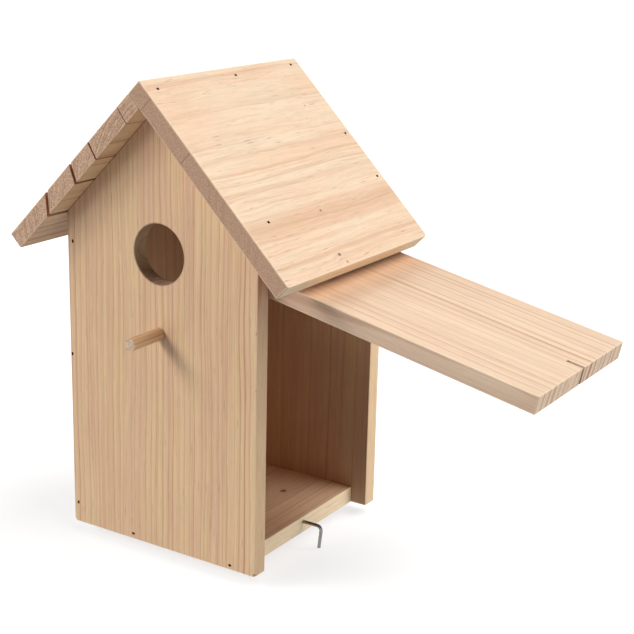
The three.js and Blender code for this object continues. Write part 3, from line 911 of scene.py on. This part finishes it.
def make_floor():
    low, high = FLOOR_LOW, FLOOR_HIGH
    outline = [(low.x, low.z), (high.x, low.z), (high.x, high.z), (low.x, high.z)]
    # The hook's hole is drilled in from the edge under the door.
    hook_hole = cylinder_along_y(HOOK_HOLE_RADIUS, 0, HOOK_HOLE_DEPTH + PAST_FACE, 0, 0, SMALL_HOLE_SIDES)
    bottom = Matrix.Translation((high.x - HOOK_HOLE_DEPTH, 0, HOOK_HIGH.z - HOOK_RADIUS))
    hook_hole.transform(bottom @ Matrix.Rotation(-math.pi / 2, 4, "Z"))
    cutters = [hook_hole, *brad_cutters(brads_into("floor"))]
    piece = rounded_board("floor_board", outline, low.y, high.y, cutters)
    finish_piece(piece, "house", ["floor_panel"], WOOD["floor"])


# ---- Roof ----
# Splits in the left roof panel, in millimetres: the slope distance at the outer surface and at the underside,
# the width, and the length from the front end.
SPLITS = ((23.9, 25.7, 0.5, 30), (56.3, 59, 1.1, 58), (77, 82.2, 2.2, 84), (105.5, 115.5, 2.3, 100))
# Half the width at a split's far end, and how it winds: how far, and through how many radians on its way.
SPLIT_TIP = 0.02 * MM
SPLIT_WAVE, SPLIT_WAVE_TURN = 0.25 * MM, 5.1


def on_roof(side, slope, depth=0.0):
    """x and z on a roof slope: side is 1 right or -1 left, slope runs down from the ridge, depth goes in."""
    x = side * (slope * math.cos(PITCH) - depth * math.sin(PITCH))
    return x, RIDGE - slope * math.sin(PITCH) - depth * math.cos(PITCH)


def split_cutter(outer, inner, width, length):
    """A wedge that is widest at the roof's front end and closes towards its own far end."""
    lean = (inner - outer) * MM / ROOF_BOARD
    above, below = -PAST_FACE, ROOF_BOARD + PAST_FACE
    bm = bmesh.new()
    rings = []
    steps = 12
    for step in range(steps + 1):
        share = step / steps
        half = width * MM / 2 * math.sqrt(max(0.0, 1 - share)) + SPLIT_TIP
        y = ROOF_FRONT - PAST_FACE + share * (length * MM + PAST_FACE)
        wave = SPLIT_WAVE * math.sin(SPLIT_WAVE_TURN * share + outer)
        ring = []
        for depth, way in ((above, -1), (above, 1), (below, 1), (below, -1)):
            slope = outer * MM + lean * depth + wave + way * half * math.hypot(1, lean)
            x, z = on_roof(-1, slope, depth)
            ring.append(bm.verts.new((x, y, z)))
        rings.append(ring)
    skin(bm, rings)
    return paint_shade(bm, SHADES["split"])


def roof_board(name, side, top, cutters, worn):
    """A roof panel from `top` down the slope to the eave.

    `worn` lists edges at the eave that are rounded further: the depth and y of a middle, and the radius.
    """
    outline = [
        on_roof(side, top), on_roof(side, ROOF_SLOPE),
        on_roof(side, ROOF_SLOPE, ROOF_BOARD), on_roof(side, top, ROOF_BOARD),
    ]
    edges = []
    for depth, y, radius in worn:
        x, z = on_roof(side, ROOF_SLOPE, depth)
        edges.append(((x, y, z), radius))
    return rounded_board(name, outline, ROOF_FRONT, ROOF_BACK, cutters, ROOF_EDGE_RADIUS, edges)


def make_left_roof():
    cutters = [*(split_cutter(*row) for row in SPLITS), *brad_cutters(brads_from("left_roof", "ridge"))]
    worn = ((ROOF_BOARD, 0, 1.4 * MM), (0, 0, 0.9 * MM))
    piece = roof_board("left_roof_board", -1, ROOF_BOARD + ROOF_SEAM, cutters, worn)
    finish_piece(piece, "house", ["left_roof_panel"], WOOD["left_roof"])


def make_right_roof():
    cutters = brad_cutters(brads_from("right_roof", "ridge"))
    middle = ROOF_BOARD / 2
    worn = ((middle, ROOF_BACK, 2.4 * MM), (middle, ROOF_FRONT, 1.0 * MM), (ROOF_BOARD, 0, 1.0 * MM))
    piece = roof_board("right_roof_board", 1, 0, cutters, worn)
    finish_piece(piece, "house", ["right_roof_panel"], WOOD["right_roof"])


# ---- Door ----
def make_door():
    """Built closed, then swung open about its pins."""
    half = -FRONT_HIGH.y - DOOR_SIDE_GAP
    inner, outer = DOOR_INNER, HALF_WIDTH
    outline = [(inner, DOOR_BOTTOM), (outer, DOOR_BOTTOM), (outer, DOOR_TOP), (inner, DOOR_TOP)]
    slot_bottom, slot_top = DOOR_BOTTOM - PAST_FACE, DOOR_BOTTOM + SLOT_LENGTH
    slot_inner, slot_outer = inner - PAST_FACE, outer + PAST_FACE
    slot_outline = [
        (slot_inner, slot_bottom), (slot_outer, slot_bottom), (slot_outer, slot_top), (slot_inner, slot_top),
    ]
    pin_holes = (
        (-half - PAST_FACE, -half + DOOR_PIN_HOLE_DEPTH),
        (half - DOOR_PIN_HOLE_DEPTH, half + PAST_FACE),
    )
    piece = rounded_board("door_board", outline, -half, half, [
        paint_shade(prism(slot_outline, -SLOT_WIDTH / 2, SLOT_WIDTH / 2), SHADES["slot"]),
        *(cylinder_along_y(DOOR_PIN_HOLE_RADIUS, y_from, y_to, PIVOT.x, PIVOT.z, SMALL_HOLE_SIDES)
          for y_from, y_to in pin_holes),
    ])
    swing = Matrix.Translation(PIVOT) @ Matrix.Rotation(-DOOR_OPEN_ANGLE, 4, "Y") @ Matrix.Translation(-PIVOT)
    piece.data.transform(swing)
    finish_piece(piece, "door", ["swing_door"], WOOD["door"])


# ---- Perch, pins and hook ----
def make_perch():
    piece = rod("perch", PERCH_RADIUS, PERCH_LOW.y, PERCH_HIGH.y, PERCH_CENTRE, PERCH_SIDES, PERCH_RIM)
    finish_piece(piece, "house", ["perch_dowel"], WOOD["perch"])


def make_pin_filler():
    """Wood filler over the front hinge pin, just below the panel's face."""
    y_from, y_to = FRONT_LOW.y + FILLER_SINK, PIN_LOW.y - FILLER_GAP
    piece = rod("pin_filler", FILLER_RADIUS, y_from, y_to, PIN_CENTRE, SMALL_HOLE_SIDES, FILLER_RIM)
    finish_piece(piece, "house", [], WOOD["front"])


def make_pin(node):
    low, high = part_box(node)
    piece = rod(node + "_wire", PIN_RADIUS, low.y, high.y, (low + high) / 2, PIN_SIDES, PIN_RIM)
    finish_piece(piece, "house", [node], PIN_STEEL)


def make_hook():
    """A straight shank in the floor's edge, a bend of a little over a right angle, and a leg."""
    height = HOOK_HIGH.z - HOOK_RADIUS
    leg_x = HOOK_HIGH.x - HOOK_RADIUS + HOOK_CORNER_OUT
    bend = HOOK_BEND_RADIUS
    path = [Vector((HOOK_LOW.x, 0, height)), Vector((FLOOR_HIGH.x, 0, height))]
    steps = 12
    for i in range(steps + 1):
        turn = (math.pi / 2 + HOOK_OVERBEND) * i / steps
        path.append(Vector((leg_x - bend + bend * math.sin(turn), 0, height - bend + bend * math.cos(turn))))
    leg = path[-1].z - HOOK_LOW.z - HOOK_RADIUS * math.sin(HOOK_OVERBEND)
    path.append(path[-1] + Vector((-leg * math.tan(HOOK_OVERBEND), 0, -leg)))
    piece = new_object("hook_wire", mesh_from("hook_wire", sweep(path, HOOK_RADIUS, HOOK_SIDES)))
    finish_piece(piece, "hook", ["latch_hook"], HOOK_STEEL)


def sweep(path, radius, sides):
    """A round wire along a path in the XZ plane, with slightly rounded ends."""
    first = (path[1] - path[0]).normalized()
    last = (path[-1] - path[-2]).normalized()
    tip = radius - WIRE_END_RADIUS
    points = [(path[0], tip), (path[0] + first * WIRE_END_RADIUS, radius)]
    points += [(point, radius) for point in path[1:-1]]
    points += [(path[-1] - last * WIRE_END_RADIUS, radius), (path[-1], tip)]
    side = Vector((0, 1, 0))
    bm = bmesh.new()
    rings = []
    for number, (point, r) in enumerate(points):
        before = points[max(0, number - 1)][0]
        after = points[min(len(points) - 1, number + 1)][0]
        up = (after - before).normalized().cross(side)
        ring = [point + r * (side * cosine + up * sine) for cosine, sine in circle(sides)]
        rings.append([bm.verts.new(place) for place in ring])
    skin(bm, rings)
    return bm


make_front_panel()
make_back_panel()
make_side_panel()
make_floor()
make_left_roof()
make_right_roof()
make_door()
make_perch()
make_hook()
make_pin_filler()
for pin_node in ("front_hinge_pin", "back_hinge_pin"):
    make_pin(pin_node)
for brad_node in BRADS:
    make_brad(brad_node)

# ---- Floor and backdrop ----
STAGE_SIZE = 12.0
# Heights on the dome, as shares of its radius, between which it darkens, and how it glows overhead.
DOME_DARK_FROM, DOME_PALE_TO, DOME_OVERHEAD = 0.6, 0.2, 0.05


def paper(name, white, glow):
    """Studio paper that glows, so that shadows on it stay faint."""
    graph = Graph(name)
    graph.surface("Base Color", (white, white, white))
    graph.surface("Roughness", 0.9)
    graph.surface("Specular IOR Level", 0.1)
    graph.surface("Emission Color", (1, 1, 1))
    graph.surface("Emission Strength", glow)
    return graph


def set_the_stage(piece, graph):
    """The stage is seen, but throws neither light nor shadow on the object: the lamps alone do that."""
    piece.data.materials.append(graph.material)
    piece.visible_diffuse = False
    piece.visible_shadow = False


def make_ground():
    bm = bmesh.new()
    bmesh.ops.create_grid(bm, x_segments=1, y_segments=1, size=STAGE_SIZE)
    bmesh.ops.translate(bm, verts=bm.verts, vec=(0, 0, CAD_LOW.z))
    set_the_stage(new_object("ground", mesh_from("ground", bm)), paper("ground_paper", 0.4, 0.7))


def make_backdrop():
    """A dome all round, pale at the sides and dark overhead, where bright metal mirrors it."""
    bm = bmesh.new()
    bmesh.ops.create_uvsphere(bm, u_segments=32, v_segments=16, radius=STAGE_SIZE)
    graph = paper("backdrop_paper", 0.0, 1.0)
    height = graph.dot(graph.coordinates("Object"), (0, 0, 1 / STAGE_SIZE))
    glow = graph.spread(graph.step(height, DOME_DARK_FROM, DOME_PALE_TO), DOME_OVERHEAD, 1.0)
    graph.surface("Emission Strength", glow)
    set_the_stage(new_object("backdrop", mesh_from("backdrop", bm)), graph)


# ---- Light ----
# Name, direction of travel, strength, and softness in degrees. The key is a strip light, as three lamps.
SUNS = (
    ("key_near", (0.43, 1.0, -0.42), 0.72, 22),
    ("key_mid", (0.85, 1.0, -0.85), 0.72, 22),
    ("key_far", (1.25, 1.0, -1.25), 0.78, 22),
    ("front_fill", (0.75, 1.0, 0.0), 0.7, 60),
    ("top", (-0.45, -0.2, -0.85), 3.1, 50),
    ("right_fill", (-1.0, -0.4, -0.15), 1.0, 50),
    ("bounce", (-0.6, 0.05, 0.9), 0.85, 120),
)
SKY_STRENGTH = 0.02


def make_sun(name, travel, strength, softness):
    lamp = bpy.data.lights.new(name, "SUN")
    lamp.energy = strength
    lamp.angle = math.radians(softness)
    sun = new_object(name, lamp)
    sun.rotation_euler = Vector(travel).to_track_quat("-Z", "Y").to_euler()


def make_world():
    world = bpy.data.worlds.new("studio")
    world.use_nodes = True
    background = world.node_tree.nodes["Background"]
    background.inputs["Color"].default_value = (1, 1, 1, 1)
    background.inputs["Strength"].default_value = SKY_STRENGTH
    bpy.context.scene.world = world


# ---- Camera ----
CAMERA_AZIMUTH = math.radians(32.34)
CAMERA_ELEVATION = math.radians(16.56)
CAMERA_ROLL = math.radians(1.38)
CAMERA_DISTANCE = 0.9047
CAMERA_TARGET = Vector((0.0687, 0, 0.1501))
# In millimetres.
CAMERA_LENS, CAMERA_SENSOR = 81.46, 36


def make_camera():
    back = Vector((
        math.sin(CAMERA_AZIMUTH) * math.cos(CAMERA_ELEVATION),
        -math.cos(CAMERA_AZIMUTH) * math.cos(CAMERA_ELEVATION),
        math.sin(CAMERA_ELEVATION),
    ))
    lens = bpy.data.cameras.new("camera")
    lens.lens = CAMERA_LENS
    lens.sensor_width = CAMERA_SENSOR
    lens.clip_start = 0.01
    camera = new_object("camera", lens)
    turn = (-back).to_track_quat("-Z", "Y").to_matrix().to_4x4()
    place = Matrix.Translation(CAMERA_TARGET + back * CAMERA_DISTANCE)
    camera.matrix_world = place @ turn @ Matrix.Rotation(CAMERA_ROLL, 4, "Z")
    bpy.context.scene.camera = camera


make_ground()
make_backdrop()
for sun_row in SUNS:
    make_sun(*sun_row)
make_world()
make_camera()
bpy.context.scene.view_settings.view_transform = "Standard"
